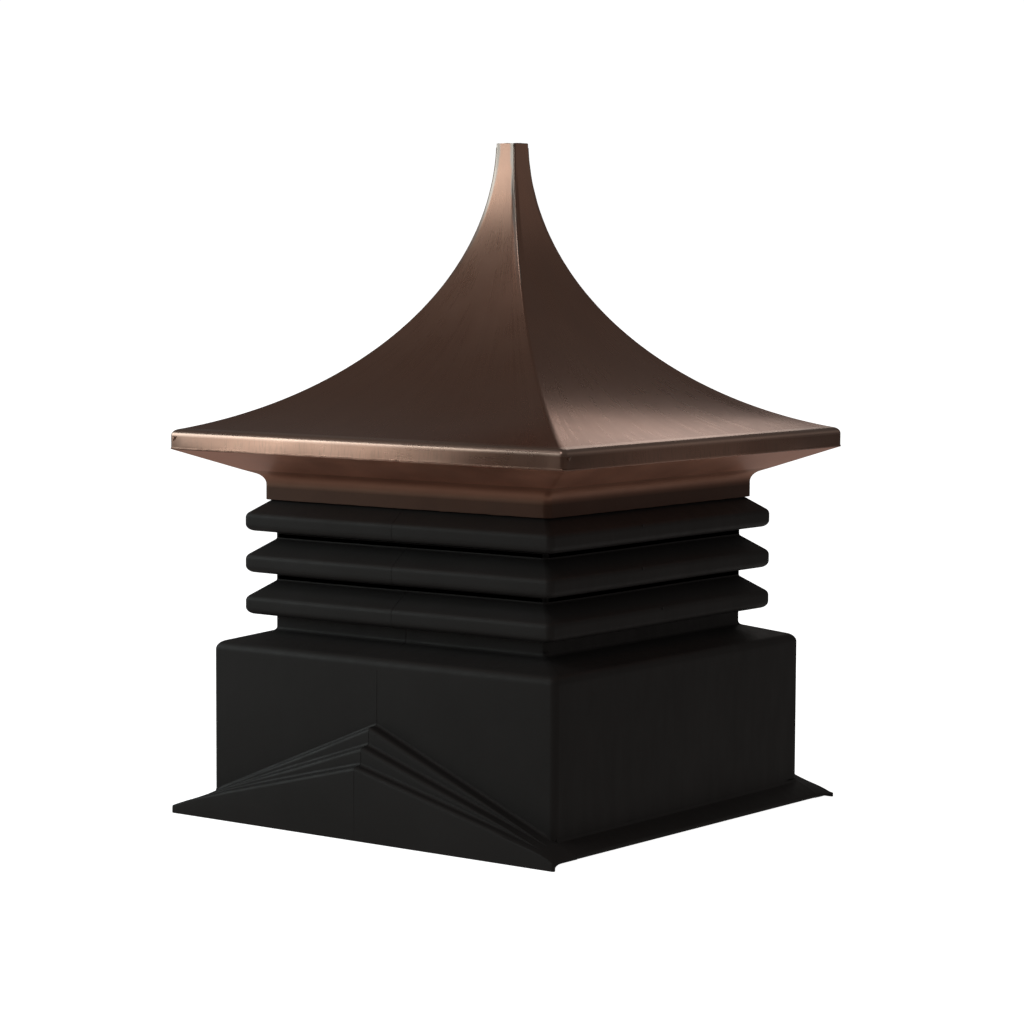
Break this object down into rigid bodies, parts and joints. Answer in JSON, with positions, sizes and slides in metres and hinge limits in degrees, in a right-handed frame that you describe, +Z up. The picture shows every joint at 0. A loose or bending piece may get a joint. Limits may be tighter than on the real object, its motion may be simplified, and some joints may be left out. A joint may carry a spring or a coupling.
{
  "type": "louvred roof cupola",
  "caption": "Square louvred ridge cupola: a moulded black base with a stepped saddle skirt, louvre courses and a swept hipped copper roof with an open square neck.",
  "frame": {"origin": "centre of the bounding box at its bottom, on the floor that the gable plates of the skirt rest on", "axes": "+Z up; -Y and +Y are the gable sides with the stepped saddle, -X and +X the eave sides with the sloping flanges"},
  "size_m": [0.5634, 0.5734, 0.778],
  "materials": {
    "black_plastic": "satin moulded polyethylene with a very fine grain",
    "copper": "brushed copper sheet, slightly browned, soldered at the hips"
  },
  "bodies": {
    "root": {"front_saddle": "black_plastic", "back_saddle": "black_plastic", "right_flange": "black_plastic", "left_flange": "black_plastic", "front_base_wall": "black_plastic", "front_shoulder": "black_plastic", "front_neck_wall": "black_plastic", "front_upper_louvre": "black_plastic", "front_middle_louvre": "black_plastic", "front_lower_louvre": "black_plastic", "front_frieze": "copper", "front_soffit": "copper", "front_fascia": "copper", "front_roof_panel": "copper", "right_base_wall": "black_plastic", "right_shoulder": "black_plastic", "right_neck_wall": "black_plastic", "right_upper_louvre": "black_plastic", "right_middle_louvre": "black_plastic", "right_lower_louvre": "black_plastic", "right_frieze": "copper", "right_soffit": "copper", "right_fascia": "copper", "right_roof_panel": "copper", "back_base_wall": "black_plastic", "back_shoulder": "black_plastic", "back_neck_wall": "black_plastic", "back_upper_louvre": "black_plastic", "back_middle_louvre": "black_plastic", "back_lower_louvre": "black_plastic", "back_frieze": "copper", "back_soffit": "copper", "back_fascia": "copper", "back_roof_panel": "copper", "left_base_wall": "black_plastic", "left_shoulder": "black_plastic", "left_neck_wall": "black_plastic", "left_upper_louvre": "black_plastic", "left_middle_louvre": "black_plastic", "left_lower_louvre": "black_plastic", "left_frieze": "copper", "left_soffit": "copper", "left_fascia": "copper", "left_roof_panel": "copper"}
  },
  "joints": []
}
